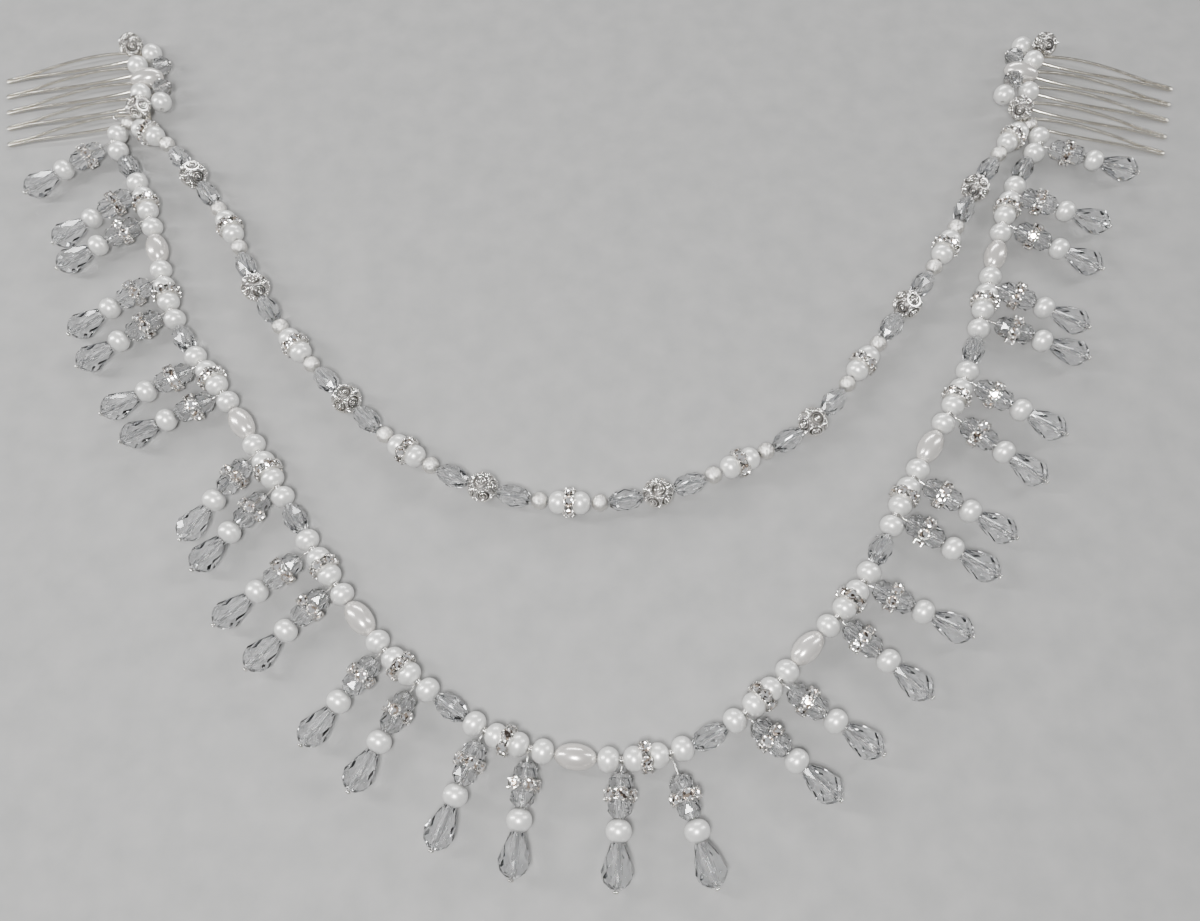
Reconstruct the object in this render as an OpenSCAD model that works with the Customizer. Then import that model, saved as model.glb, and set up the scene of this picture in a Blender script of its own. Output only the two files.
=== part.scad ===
// Beaded hair chain: two wire combs joined by two strands of beads, the outer one with a fringe of drops.
// It lies on z = 0 as it was laid down, the fringe towards -Y and the combs at the two upper ends.

/* [Pearls] */
// Diameter of a round pearl across its hole
pearl_d = 6; // [5.5:0.25:8]
// Length of a round pearl along its hole
pearl_l = 5.1; // [4.5:0.1:5.5]
// Diameter of a rice pearl
rice_d = 6.2; // [5:0.25:7]
// Length of a rice pearl
rice_l = 10; // [8:0.2:13]

/* [Crystals] */
// Diameter of an oval crystal on the strands
oval_d = 6; // [5:0.25:7]
// Length of an oval crystal
oval_l = 8.6; // [7:0.2:11]
// Diameter of a round crystal in the drops and clusters
round_d = 5.7; // [5:0.1:7]
// Length of a round crystal along its hole
round_l = 4.9; // [4:0.1:6]
// Diameter of a teardrop at its belly
tear_d = 7.4; // [6:0.2:9]
// Length of a teardrop
tear_l = 9.8; // [8:0.2:14]
// Facets round each cut bead
facets = 8; // [8:1:10]

/* [Metal beads] */
// Diameter of a rhinestone rondelle
rondelle_d = 7.8; // [7:0.2:10]
// Width of the rondelle's rim
rondelle_w = 2.6; // [2:0.2:3.2]
// Thickness of the rondelle's rim
rim_t = 1.3; // [1.1:0.1:1.6]
// Thickness of metal between the two beads that a rondelle cups
rondelle_web = 0.5; // [0.4:0.1:1]
// Diameter of a filigree ball on the inner strand
ball_d = 8; // [7:0.25:10]
// Diameter of a filigree ball in the clusters
small_ball_d = 7.2; // [6.5:0.1:8]
// Wall of a filigree ball
ball_wall = 0.5; // [0.4:0.1:0.8]
// Diameter of a hole pierced in a filigree ball
pierce_d = 2.2; // [1.6:0.1:2.6]
// Diameter of a stardust bead on the inner strand
stardust_d = 4.5; // [4:0.1:6]
// Diameter of the stardust bead where the strands meet
join_d = 4.2; // [3.6:0.1:5]

/* [Wires] */
// Hole drilled through the beads
bore_d = 1.2; // [1.1:0.1:1.5]
// Beading wire inside the strands and clusters
thread_d = 0.5; // [0.35:0.05:0.55]
// Wire of a drop's head pin
pin_d = 0.5; // [0.4:0.05:0.6]
// Head of a drop's pin
head_d = 1.5; // [1.4:0.1:2.2]
// Inner radius of the pin's loop round the thread
loop_r = 0.5; // [0.45:0.05:0.6]

/* [Clearances] */
// Gap between neighbouring beads on a string
bead_gap = 0.21; // [0.15:0.01:0.3]
// Gap on the thread that a drop's loop hangs in
loop_gap = 0.9; // [0.9:0.1:2]
// Extra room round the first and the last drop's loop, where the thread turns
end_slack = 0.8; // [0.6:0.1:1.5]
// Gap between pieces that lie against each other
seat_gap = 0.15; // [0.12:0.01:0.3]

/* [Combs] */
// Number of teeth on a comb
teeth = 5; // [3:1:9]
// Distance between teeth
tooth_pitch = 6.4; // [6:0.2:9]
// Length of a tooth from the spine to its tip
tooth_l = 43; // [30:1:55]
// Wire of a tooth
tooth_wire = 0.9; // [0.7:0.1:1.2]
// Spread of a tooth's two wires at the middle
tooth_spread = 3.8; // [2.4:0.2:4.2]
// Height of a tooth's bow
tooth_bow = 1.6; // [0:0.2:5]
// Diameter of the spine
spine_d = 1.7; // [1.6:0.1:2.6]
// Spine beyond the last tooth at each end
spine_end = 1.6; // [1.4:0.2:4]
// Angle of the left comb's teeth from -X
left_turn = 11; // [-10:1:25]
// Angle of the right comb's teeth from +X
right_turn = 19; // [-10:1:25]

/* [Strings] */
// Oval beads on the outer strand, crystal and rice pearl in turn
ovals = 15; // [3:2:15]
// Filigree balls on the inner strand
balls = 8; // [2:1:8]
// Wire left sticking out of the end balls of a cluster
wire_tail = 0.4; // [0.2:0.1:1]
// How steeply the thread comes down from the widest beads, as a share of its length
fall = 0.12; // [0.1:0.01:0.2]

/* [Hidden] */
DROPS = 2 * ovals;
drop_names = [for (i = [1:DROPS]) str("drop_", i < 10 ? "0" : "", i)];
$fn = 40;

// Route of the outer thread on the surface, from the left comb to the right one, chosen by hand
OUTER_ROUTE = [[-139, 234], [-142.3, 226.9], [-136.4, 217], [-129.8, 204.1], [-124.5, 187.5], [-119.6, 171.5],
    [-113.3, 157.3], [-104, 144.5], [-94.4, 130.1], [-86.4, 116.6], [-78.5, 103], [-70.1, 89.5],
    [-60.1, 75.4], [-50.2, 63.8], [-37.6, 53.3], [-24.7, 45], [-8.1, 40.6], [8.6, 39.8], [23.5, 44.2],
    [36.8, 53.2], [48.5, 64.5], [60.3, 75.7], [69.6, 88.9], [77.3, 102.6], [86, 116], [95.3, 129.9],
    [102.2, 143.9], [107.9, 159.5], [114, 175], [119.9, 190.5], [127.3, 204.2], [134, 213.1], [132.3, 220]];
// Route of the inner thread between the same two ends
INNER_ROUTE = [[-139, 234], [-134, 230.5], [-126.5, 225.5], [-116, 212], [-103.9, 193.6], [-94.6, 172.4],
    [-82.5, 154], [-67.1, 136.4], [-50.4, 120.4], [-30.3, 109.3], [-8.1, 104], [14.6, 105.8], [36.1, 113.3],
    [56, 123.8], [71.1, 140.4], [85.6, 158], [99.6, 176.4], [110.9, 196], [120, 208], [126.2, 215.6],
    [132.3, 220]];
// Moves the whole layout so that its box stands centred over the origin
CENTRE = [1, -139];

// Lean of each drop from square to the thread, and the bare wire left above its first bead
DROP_TABLE = [[22, 0.1], [13, 0], [17, 0], [21, 0], [14, 0], [-9, 0], [-7, 0], [24, 0], [19, 0], [8, 0.9],
    [11, 0], [9, 0], [9, 0.3], [9, 0], [7, 0.2], [-3, 0], [3, 2.4], [9, 0], [8, 0], [2, 0], [5, 0], [-9, 0],
    [-4, 0.4], [-9, 1], [-10, 0.4], [-8, 1.1], [-10, 0], [-14, 0.7], [0, 0], [7, 0]];
LEAN = 0;
BARE = 1;

// Beads of a cluster: kind, along the spine, inwards from it and up from its top, in cluster steps
LEFT_CLUSTER = [["small_ball", -2.13, -0.31, 0.64], ["pearl", -1.6, 0.62, 0.33],
    ["pearl", -0.8, -0.12, 0.51], ["rice", 0.15, 0.3, 0.49], ["pearl", 2.05, 0.97, 0.67],
    ["small_ball", 2.18, -0.12, 0.81]];
RIGHT_CLUSTER = [["small_ball", -2.37, -0.34, 0.64], ["pearl", -2.34, 0.67, 0.22],
    ["pearl", -1.29, 0.03, 0.52], ["rice", -0.33, 0.52, 0.55], ["pearl", 1.45, 1.14, 0.67],
    ["small_ball", 2.17, 0.26, 0.82]];
KIND = 0;
ALONG = 1;
INWARD = 2;
UP = 3;
// Along-hole stations of the cut beads: share of the length, share of the radius, turn in half facets
OVAL_CUT = [[-0.5, 0.42, 0], [-0.3, 0.82, 1], [0, 1, 0], [0.3, 0.82, 1], [0.5, 0.42, 0]];
ROUND_CUT = [[-0.5, 0.5, 0], [-0.2, 1, 1], [0.2, 1, 0], [0.5, 0.5, 1]];
TEAR_CUT = [[0, 0.46, 0], [0.62, 1, 0], [0.83, 0.82, 1], [1, 0.34, 0]];

// How far round its ellipse a rice pearl's side runs before the flat end, in degrees
RICE_END = 76;
// Depth by which soldered pieces run into each other
OVERLAP = 0.05;
// Farther than any bead reaches
FAR = 50;
// A pin's neck under its loop, and the knuckle where it bends, turned so that its seam is in neither wire
neck_d = 0.8 * pin_d;
knuckle_d = 1.3 * pin_d;
KNUCKLE_TURN = 105;
// How far the two bores of a cluster bead run past its middle, as shares of a bore
PAST_BACK = 0.42;
PAST_ON = 0.5;
// Where the thread's two points in a bead are, as a share of the bead's length from its middle
INSIDE = 0.45;
// Tilt of the slanting holes in a filigree ball, and how the two rows of holes are turned
PIERCE_TILT = 42;
PIERCE_TURN = 30;
// Half the distance between a tooth's two wires where they lie together
half_pair = 0.55 * tooth_wire;
// Where a tooth's eye closes, as a share of its length, and how far towards the spine it is widest
EYE_END = 0.84;
EYE_POWER = 0.75;

spine_l = (teeth - 1) * tooth_pitch + 2 * spine_end;
cluster_step = max(pearl_d + 0.2, rice_d, small_ball_d - 1);
high_z = max(rondelle_d, pearl_d) / 2;
ball_z = ball_d / 2;
low_z = max(pearl_d, rice_d, oval_d) / 2 + 0.1;
triple_l = 2 * pearl_l + rondelle_web;
trio_l = 2 * round_l + rondelle_web;
loop_mid = loop_r + pin_d / 2;
bend = loop_mid + pin_d / 2 + 1;
STEPS = 6;

// A point on a smooth curve through the route's points
function blend(a, b, c, d, t) = 0.5 * (2 * b + (c - a) * t + (2 * a - 5 * b + 4 * c - d) * t * t
    + (3 * b - a - 3 * c + d) * t * t * t);
function fine(route) = let (n = len(route)) [for (i = [0:n - 2], k = [0:STEPS - 1])
    blend(route[max(i - 1, 0)], route[i], route[i + 1], route[min(i + 2, n - 1)], k / STEPS), route[n - 1]];
function lengths(path, i = 0, sum = 0, out = []) = i == len(path) ? out :
    let (s = i == 0 ? 0 : sum + norm(path[i] - path[i - 1])) lengths(path, i + 1, s, concat(out, [s]));

// Items threaded on each string in order, as kind and length along the thread
function bead(kind, l) = [kind, l + bead_gap];
function loop(room) = ["loop", room - bead_gap];
outer_items = concat([bead("join", join_d + end_slack), bead("pearl", pearl_l), loop(loop_gap + end_slack),
    bead("pearl", pearl_l)],
    [for (i = [0:ovals - 1]) each concat(
        [i % 2 == 0 ? bead("oval", oval_l) : bead("rice", rice_l)],
        i == ovals - 1 ? [] : [bead("pearl", pearl_l), loop(loop_gap), bead("triple", triple_l),
            loop(loop_gap), bead("pearl", pearl_l)])],
    [bead("pearl", pearl_l), loop(loop_gap + end_slack), bead("pearl", pearl_l),
        bead("join", join_d + end_slack)]);
inner_items = concat([bead("join", join_d + end_slack), bead("triple", triple_l)],
    [for (i = [0:balls - 1]) each [bead("stardust", stardust_d), bead("oval", oval_l), bead("ball", ball_d),
        bead("oval", oval_l), bead("stardust", stardust_d), bead("triple", triple_l)]],
    [bead("join", join_d + end_slack)]);

// Centre of item i measured from the centre of the first one
function starts(items, i = 0, sum = 0, out = []) = i == len(items) ? out :
    starts(items, i + 1, sum + items[i][1], concat(out, [sum + items[i][1] / 2]));
function centres(items) = let (c = starts(items)) [for (s = c) s - c[0]];
outer_centres = centres(outer_items);
inner_centres = centres(inner_items);
outer_need = outer_centres[len(outer_centres) - 1];
inner_need = inner_centres[len(inner_centres) - 1];
outer_path = fine(OUTER_ROUTE);
inner_path = fine(INNER_ROUTE);
outer_run = lengths(outer_path);
inner_run = lengths(inner_path);
outer_route_l = outer_run[len(outer_run) - 1];
inner_route_l = inner_run[len(inner_run) - 1];
route_scale = max(outer_need / outer_route_l, inner_need / inner_route_l);

// A string keeps its route as X and Y against length, its items, where each item's centre is, and its props
function string(path, run, items, mids, need) =
    let (grow = route_scale * run[len(run) - 1] / need,
        props = [for (i = [0:len(items) - 1]) if (prop_z(items[i][0]) > 0)
            [mids[i] * grow, items[i][1] / 2, prop_z(items[i][0])]])
    [[for (i = [0:len(path) - 1]) [run[i] * route_scale, path[i].x * route_scale + CENTRE.x]],
        [for (i = [0:len(path) - 1]) [run[i] * route_scale, path[i].y * route_scale + CENTRE.y]],
        items, [for (m = mids) m * grow], props];
ROUTE_X = 0;
ROUTE_Y = 1;
ITEMS = 2;
MIDS = 3;
PROPS = 4;
// Height at which an item props the thread up, or 0 where it only hangs on it
function prop_z(kind) = kind == "triple" || kind == "loop" ? high_z : kind == "ball" ? ball_z : 0;
outer = string(outer_path, outer_run, outer_items, outer_centres, outer_need);
inner = string(inner_path, inner_run, inner_items, inner_centres, inner_need);

// The thread comes down from each prop by the fall, and never under low_z
function thread_z(line, s) = max(low_z, max([for (p = line[PROPS])
    p[2] - fall * max(0, abs(s - p[0]) - p[1])]));
function on_thread(line, s) = [lookup(s, line[ROUTE_X]), lookup(s, line[ROUTE_Y]), thread_z(line, s)];
function unit(v) = v / norm(v);
// Where item i sits: its centre and the direction of its hole
function seat(line, i) = let (s = line[MIDS][i], half = line[ITEMS][i][1] / 2,
    a = on_thread(line, s - half), b = on_thread(line, s + half), m = on_thread(line, s))
    [line[ITEMS][i][0] == "join" ? m : (2 * m + a + b) / 4, unit(b - a)];
function heading(v) = atan2(v.y, v.x);
function rise(v) = asin(v.z / norm(v));

module along(p, v) {
    translate(p) rotate([0, 90 - rise(v), heading(v)]) children();
}

// A tube through points that run near level
function hoop(p, v, d, sides) = let (side = unit(cross([0, 0, 1], v)), up = cross(v, side))
    [for (j = [0:sides - 1]) p + d / 2 * (cos(360 * j / sides) * side + sin(360 * j / sides) * up)];
module skin(rings, sides) {
    n = len(rings) / sides;
    polyhedron(rings, concat([[for (j = [0:sides - 1]) j]],
        [[for (j = [sides - 1:-1:0]) (n - 1) * sides + j]],
        [for (k = [0:n - 2], j = [0:sides - 1]) [k * sides + j, (k + 1) * sides + j,
            k * sides + (j + 1) % sides]],
        [for (k = [0:n - 2], j = [0:sides - 1]) [k * sides + (j + 1) % sides, (k + 1) * sides + j,
            (k + 1) * sides + (j + 1) % sides]]));
}
module tube(points, d, sides = 6) {
    last = len(points) - 1;
    skin([for (i = [0:last]) each hoop(points[i],
        unit(points[min(i + 1, last)] - points[max(i - 1, 0)]), d, sides)], sides);
}
module rod(a, b, d) {
    along(a, b - a) cylinder(d = d, h = norm(b - a));
}

// Round beads turned about their hole, which keeps the side of the profile beyond its wall
module half(wall) {
    intersection() {
        children();
        translate([wall, -FAR]) square([FAR, 2 * FAR]);
    }
}
module turned() {
    rotate_extrude() half(bore_d / 2) children();
}
module pearl_side(d = pearl_d, l = pearl_l) {
    translate([(d - l) / 2, 0]) circle(d = l);
}
module pearl() {
    turned() pearl_side();
}
module rice_side() {
    steps = 10;
    polygon([for (k = [-steps:steps]) let (a = RICE_END * k / steps)
        [rice_d / 2 * cos(a), rice_l / 2 * sin(a) / sin(RICE_END)]]);
}
module rice() {
    turned() union() {
        rice_side();
        translate([0, -rice_l / 2]) square([rice_d / 2 * cos(RICE_END), rice_l]);
    }
}
// A rondelle's web between two beads and its rim round them
module rondelle_side() {
    r = rondelle_d / 2;
    translate([0, -rondelle_web / 2 - OVERLAP]) square([r - rim_t / 2, rondelle_web + 2 * OVERLAP]);
    translate([r - rim_t, -rondelle_w / 2]) square([0.8 * rim_t, rondelle_w]);
    translate([r - 0.8 * rim_t, -rondelle_w / 3]) square([0.8 * rim_t, rondelle_w * 2 / 3]);
}
module triple() {
    turned() union() {
        rondelle_side();
        for (k = [-1, 1]) translate([0, k * (pearl_l + rondelle_web) / 2]) pearl_side();
    }
}

// A cut bead: facets between stations along its hole, from z = 0
module cut_bead(cut, d, l) {
    skin([for (c = cut, j = [0:facets - 1]) let (a = 360 * (j + c[2] / 2) / facets)
        [d / 2 * c[1] * cos(a), d / 2 * c[1] * sin(a), l * c[0]]], facets);
}
module drilled(l) {
    difference() {
        children();
        cylinder(d = bore_d, h = 3 * l, center = true);
    }
}
module oval() {
    drilled(oval_l) cut_bead(OVAL_CUT, oval_d, oval_l);
}
module trio() {
    drilled(trio_l) union() {
        for (k = [-1, 1]) translate([0, 0, k * (round_l + rondelle_web) / 2])
            cut_bead(ROUND_CUT, round_d, round_l);
        rotate_extrude() rondelle_side();
    }
}
module teardrop() {
    drilled(tear_l) cut_bead(TEAR_CUT, tear_d, tear_l);
}

// A hollow ball pierced all round
module ball(d) {
    difference() {
        sphere(d = d);
        sphere(d = d - 2 * ball_wall);
        for (k = [0:2]) rotate([90, 0, 60 * k]) cylinder(d = pierce_d, h = d + 1, center = true);
        for (k = [0:1]) rotate([PIERCE_TILT, 0, PIERCE_TURN + 90 * k])
            cylinder(d = pierce_d, h = d + 1, center = true);
    }
}
module stardust(d) {
    turned() pearl_side(d, 0.94 * d);
}

module strung(line, i) {
    place = seat(line, i);
    kind = line[ITEMS][i][0];
    along(place[0], place[1]) {
        if (kind == "pearl") color("ivory") pearl();
        if (kind == "triple") color("ivory") triple();
        if (kind == "rice") color("linen") rice();
        if (kind == "oval") color("aliceblue") oval();
        if (kind == "ball") color("silver") drilled(ball_d) ball(ball_d);
        if (kind == "stardust") color("silver") stardust(stardust_d);
        if (kind == "join") color("silver") stardust(join_d);
    }
}
module outer_strand() {
    for (i = [0:len(outer_items) - 1]) strung(outer, i);
}
module inner_strand() {
    for (i = [1:len(inner_items) - 2]) strung(inner, i);
}

// Thread points: two inside each bead's hole, and one at each loop
function thread_points(line, first, last) = [for (i = [first:last]) let (place = seat(line, i))
    for (k = line[ITEMS][i][0] == "loop" ? [0] : [-INSIDE, INSIDE])
        place[0] + k * line[ITEMS][i][1] * place[1]];
// A point just outside the hole of item i, before it (way -1) or after it (way 1)
function mouth(line, i, way) = let (place = seat(line, i))
    place[0] + way * line[ITEMS][i][1] / 2 * place[1];
outer_last = len(outer_items) - 1;
inner_last = len(inner_items) - 1;
// The outer thread comes straight out of the end beads before it turns to the combs
module outer_thread() {
    color("silver") tube(concat([left_tie, mouth(outer, 0, -1)], thread_points(outer, 0, outer_last),
        [mouth(outer, outer_last, 1), right_tie]), thread_d);
}
module inner_thread() {
    color("silver") tube(concat([mouth(inner, 1, -1)], thread_points(inner, 1, inner_last - 1),
        [mouth(inner, inner_last - 1, 1)]), thread_d);
}

// A drop, from its loop round the thread: local X runs square out from the thread
loops = [for (i = [0:outer_last]) if (outer_items[i][0] == "loop") i];
function first_crystal(lean) = let (reach = (loop_gap + pearl_l) / 2,
    b = bend * cos(lean) - reach * abs(sin(lean)),
    need = pearl_d / 2 + round_d / 2 + seat_gap)
    -b + sqrt(b * b - reach * reach - bend * bend + need * need);
module drop(n) {
    place = seat(outer, loops[n]);
    lean = DROP_TABLE[n][LEAN];
    trio_x = first_crystal(lean) + DROP_TABLE[n][BARE] + (round_l + rondelle_web) / 2;
    pearl_x = trio_x + trio_l / 2 + seat_gap + pearl_l / 2;
    tear_x = pearl_x + pearl_l / 2 + seat_gap;
    head_x = tear_x + tear_l + seat_gap;
    pitch = max(0, asin((rondelle_d / 2 - high_z) / trio_x),
        asin((tear_d / 2 - high_z) / (tear_x + TEAR_CUT[1][0] * tear_l)));
    translate(place[0]) rotate(heading(place[1]) - 90) {
        color("silver") {
            rotate([90, 0, 0]) rotate_extrude() translate([loop_mid, 0]) circle(d = pin_d);
            translate([loop_mid, 0, 0]) rotate([0, 90, 0]) cylinder(d = neck_d, h = bend - loop_mid);
            translate([bend, 0, 0]) rotate(KNUCKLE_TURN) sphere(d = knuckle_d);
        }
        translate([bend, 0, 0]) rotate([0, -pitch, lean]) {
            color("silver") rotate([0, 90, 0]) {
                cylinder(d = pin_d, h = head_x + head_d / 8);
                translate([0, 0, head_x]) cylinder(d = head_d, h = head_d / 2);
            }
            color("aliceblue") translate([trio_x, 0, 0]) rotate([0, 90, 0]) trio();
            color("ivory") translate([pearl_x, 0, 0]) rotate([0, 90, 0]) pearl();
            color("aliceblue") translate([tear_x, 0, 0]) rotate([0, 90, 0]) teardrop();
        }
    }
}

// Combs in their own frame: the spine along Y, the teeth towards -X, the first tooth at +Y.
// The bead where the strands meet sits off the spine's end: across the spine, and beyond it
LEFT_JOIN = [-5.2, 1.6];
RIGHT_JOIN = [-2.6, 1.2];
function join_place(join) = [join.x, -spine_l / 2 - join.y];
function spin(v, a) = [v.x * cos(a) - v.y * sin(a), v.x * sin(a) + v.y * cos(a)];
function flat(v) = [v.x, v.y];
left_start = flat(on_thread(outer, 0)) - spin(join_place(LEFT_JOIN), left_turn);
right_spin = spin(join_place(RIGHT_JOIN), right_turn);
right_start = flat(on_thread(outer, outer[MIDS][outer_last])) - [-right_spin.x, right_spin.y];
module left_side() {
    translate(left_start) rotate(left_turn) children();
}
module right_side() {
    translate(right_start) mirror([1, 0, 0]) rotate(right_turn) children();
}
tie_local = [0, 1 - spine_l / 2];
tie_z = spine_d + seat_gap + thread_d / 2;
left_tie_flat = left_start + spin(tie_local, left_turn);
right_tie_spin = spin(tie_local, right_turn);
left_tie = [left_tie_flat.x, left_tie_flat.y, tie_z];
right_tie = [right_start.x - right_tie_spin.x, right_start.y + right_tie_spin.y, tie_z];

// A tooth is one wire out along one side of an eye, round the tip and back along the other
function eye(u) = u > EYE_END ? 0 : sin(180 * pow(u / EYE_END, EYE_POWER));
function leg(u, side) = [-u * (tooth_l - tooth_wire),
    side * (half_pair + (tooth_spread - tooth_wire) / 2 * eye(u)),
    spine_d / 2 + (tooth_wire - spine_d) / 2 * u + tooth_bow * 2 * u * (1 - u)
        + (side > 0 ? tooth_bow * 0.5 * eye(u) : 0)];
module tooth() {
    steps = 9;
    tube(concat([for (k = [0:steps]) leg(k / steps, 1)],
        [for (a = [45, 90, 135]) leg(1, 0) + half_pair * [-sin(a), cos(a), 0]],
        [for (k = [steps:-1:0]) leg(k / steps, -1)]), tooth_wire);
}
module comb() {
    color("silver") {
        rotate([90, 0, 0]) translate([0, spine_d / 2, 0]) cylinder(d = spine_d, h = spine_l, center = true);
        for (k = [0:teeth - 1]) translate([0, (k - (teeth - 1) / 2) * tooth_pitch, 0]) tooth();
    }
}
module comb_left() {
    left_side() comb();
}
module comb_right() {
    right_side() comb();
}

// A cluster's beads sit on and beside the spine, and one wire runs through them all from ball to ball
function spot(row) = [row[INWARD] * cluster_step, -row[ALONG] * cluster_step,
    spine_d + row[UP] * cluster_step];
function spots(table) = [for (row = table) spot(row)];
function beyond(a, b) = b + (small_ball_d / 2 + wire_tail) * unit(b - a);
function wire_line(table) = let (p = spots(table), last = len(p) - 1)
    [beyond(p[1], p[0]), for (i = [1:last - 1]) p[i], beyond(p[last - 1], p[last])];
module end_ball(p, v) {
    color("silver") along(p, v) drilled(small_ball_d) ball(small_ball_d);
}
module middle_bead(kind) {
    if (kind == "pearl") color("ivory") sphere(d = pearl_d);
    if (kind == "rice") color("linen") rotate([0, 90, 0]) rotate_extrude() half(0) rice_side();
}
module cluster(table) {
    p = spots(table);
    last = len(p) - 1;
    end_ball(p[0], p[0] - p[1]);
    end_ball(p[last], p[last] - p[last - 1]);
    for (i = [1:last - 1]) difference() {
        translate(p[i]) middle_bead(table[i][KIND]);
        for (k = [-1, 1])
            rod(p[i] - (k > 0 ? PAST_ON : PAST_BACK) * bore_d * unit(p[i + k] - p[i]), p[i + k], bore_d);
    }
}
module cluster_left() {
    left_side() cluster(LEFT_CLUSTER);
}
module cluster_right() {
    right_side() cluster(RIGHT_CLUSTER);
}
module cluster_wire_left() {
    color("silver") left_side() tube(wire_line(LEFT_CLUSTER), thread_d);
}
module cluster_wire_right() {
    color("silver") right_side() tube(wire_line(RIGHT_CLUSTER), thread_d);
}

comb_left();
comb_right();
cluster_left();
cluster_right();
cluster_wire_left();
cluster_wire_right();
outer_thread();
inner_thread();
outer_strand();
inner_strand();
for (n = [0:DROPS - 1]) drop(n);
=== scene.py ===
"""Beaded hair chain: two wire combs with bead clusters, joined by two strands, one with a fringe of drops."""

import math

import bmesh
import bpy
import numpy as np
from mathutils import Matrix, Vector


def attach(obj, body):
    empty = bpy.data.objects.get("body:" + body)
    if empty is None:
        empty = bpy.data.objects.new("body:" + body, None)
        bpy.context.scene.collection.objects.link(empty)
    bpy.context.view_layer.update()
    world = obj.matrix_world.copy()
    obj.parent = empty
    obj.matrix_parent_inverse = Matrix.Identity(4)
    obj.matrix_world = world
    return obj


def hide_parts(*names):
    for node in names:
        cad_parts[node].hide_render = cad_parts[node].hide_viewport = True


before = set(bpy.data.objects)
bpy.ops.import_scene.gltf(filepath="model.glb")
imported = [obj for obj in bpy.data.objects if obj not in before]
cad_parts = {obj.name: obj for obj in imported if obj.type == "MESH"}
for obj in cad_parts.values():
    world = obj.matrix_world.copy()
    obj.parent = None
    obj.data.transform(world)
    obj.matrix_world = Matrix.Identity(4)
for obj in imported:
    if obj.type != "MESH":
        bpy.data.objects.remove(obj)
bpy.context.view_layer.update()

# Camera. It stands over the fringe and looks down at the chain as the photograph does, turned a little
# clockwise. Places in this script are in millimetres, and MM brings them to the frame's metres.
MM = 0.001
camera_stand = Vector((1, -139, 266.4))
camera_tilt = math.radians(23.86)
camera_roll = math.radians(-2.26)
bpy.ops.object.camera_add()
camera = bpy.context.object
camera.matrix_world = (
    Matrix.Translation(camera_stand * MM)
    @ Matrix.Rotation(camera_tilt, 4, "X")
    @ Matrix.Rotation(camera_roll, 4, "Z")
)
camera.data.lens = 33
camera.data.sensor_width = 36
camera.data.sensor_fit = "HORIZONTAL"
camera.data.clip_start = 0.01
bpy.context.scene.camera = camera

# Table and lights. The chain lies on a pale matt board. One lamp stands by the camera, two long ones at the
# sides and one behind, and the room is dim, so that glass and silver have something dark to show.
noise_low, noise_high = 0.3, 0.7  # nearly all of a noise texture lies between these


def paint(name, **values):
    """A material whose sockets have these values, given by their names with _ for each space."""
    made = bpy.data.materials.new(name)
    made.use_nodes = True
    shader = made.node_tree.nodes["Principled BSDF"]
    for socket, value in values.items():
        shader.inputs[socket.replace("_", " ")].default_value = value
    return made


def mottle(material, socket, size, low, high, detail=3):
    """Drives a socket by noise of that grain size in millimetres, from low to high."""
    tree = material.node_tree
    where = tree.nodes.new("ShaderNodeTexCoord")
    noise = tree.nodes.new("ShaderNodeTexNoise")
    noise.inputs["Scale"].default_value = 1 / (size * MM)
    noise.inputs["Detail"].default_value = detail
    tree.links.new(where.outputs["Object"], noise.inputs["Vector"])
    shader = tree.nodes["Principled BSDF"]
    if isinstance(low, tuple):
        ramp = tree.nodes.new("ShaderNodeValToRGB")
        ramp.color_ramp.elements[0].position = noise_low
        ramp.color_ramp.elements[1].position = noise_high
        ramp.color_ramp.elements[0].color = low
        ramp.color_ramp.elements[1].color = high
        tree.links.new(noise.outputs["Fac"], ramp.inputs["Fac"])
        tree.links.new(ramp.outputs["Color"], shader.inputs[socket])
    else:
        span = tree.nodes.new("ShaderNodeMapRange")
        span.inputs["From Min"].default_value = noise_low
        span.inputs["From Max"].default_value = noise_high
        span.inputs["To Min"].default_value = low
        span.inputs["To Max"].default_value = high
        tree.links.new(noise.outputs["Fac"], span.inputs["Value"])
        tree.links.new(span.outputs["Result"], shader.inputs[socket])


def roughen(material, kind, size, depth, strength=1.0):
    """Bumps a material with noise or cells of that grain size and depth, in millimetres."""
    tree = material.node_tree
    where = tree.nodes.new("ShaderNodeTexCoord")
    grain = tree.nodes.new(kind)
    grain.inputs["Scale"].default_value = 1 / (size * MM)
    bump = tree.nodes.new("ShaderNodeBump")
    bump.inputs["Distance"].default_value = depth * MM
    bump.inputs["Strength"].default_value = strength
    tree.links.new(where.outputs["Object"], grain.inputs["Vector"])
    tree.links.new(grain.outputs[0], bump.inputs["Height"])
    tree.links.new(bump.outputs["Normal"], tree.nodes["Principled BSDF"].inputs["Normal"])


board = paint("pale_board", Roughness=0.85)
mottle(board, "Base Color", 8, (0.25, 0.25, 0.246, 1), (0.29, 0.286, 0.281, 1))
roughen(board, "ShaderNodeTexNoise", 0.6, 0.03, 0.4)
bpy.ops.mesh.primitive_plane_add(size=4, location=(0, 0, 0))
floor = bpy.context.object
floor.name = "floor"
floor.data.materials.append(board)

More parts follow.
